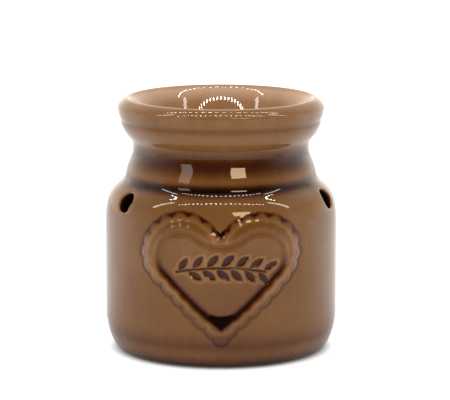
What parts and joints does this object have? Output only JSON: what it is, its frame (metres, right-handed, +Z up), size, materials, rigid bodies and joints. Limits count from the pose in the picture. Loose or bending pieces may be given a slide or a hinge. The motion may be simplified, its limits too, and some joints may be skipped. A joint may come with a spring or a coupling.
{
  "type": "essential oil burner",
  "caption": "Glazed ceramic oil burner shaped like a small jar, with an oil dish on its mouth, vent holes, a scalloped heart in relief and a doorway at the back for its tealight.",
  "frame": {"origin": "centre of the foot, on the surface that the burner stands on", "axes": "+Z up along the jar's axis, -Y towards the front with the heart, +Y towards the back with the doorway"},
  "size_m": [0.078, 0.0794, 0.0853],
  "materials": {
    "glaze": "glossy translucent brown glaze, dark where it pools",
    "cup_foil": "bright drawn aluminium",
    "wax": "satin white wax",
    "wick_cotton": "waxed cotton braid",
    "tinplate": "bare tinplate"
  },
  "bodies": {
    "burner": {"jar_body": "glaze", "oil_dish": "glaze", "heart_plaque": "glaze"},
    "tealight": {"tealight_cup": "cup_foil", "tealight_wax": "wax", "tealight_wick": "wick_cotton", "wick_sustainer": "tinplate"}
  },
  "joints": [
    {"name": "tealight_slide", "type": "slide", "parent": "burner", "child": "tealight", "axis": [0, 1, 0], "range_m": [0, 0.075]}
  ]
}
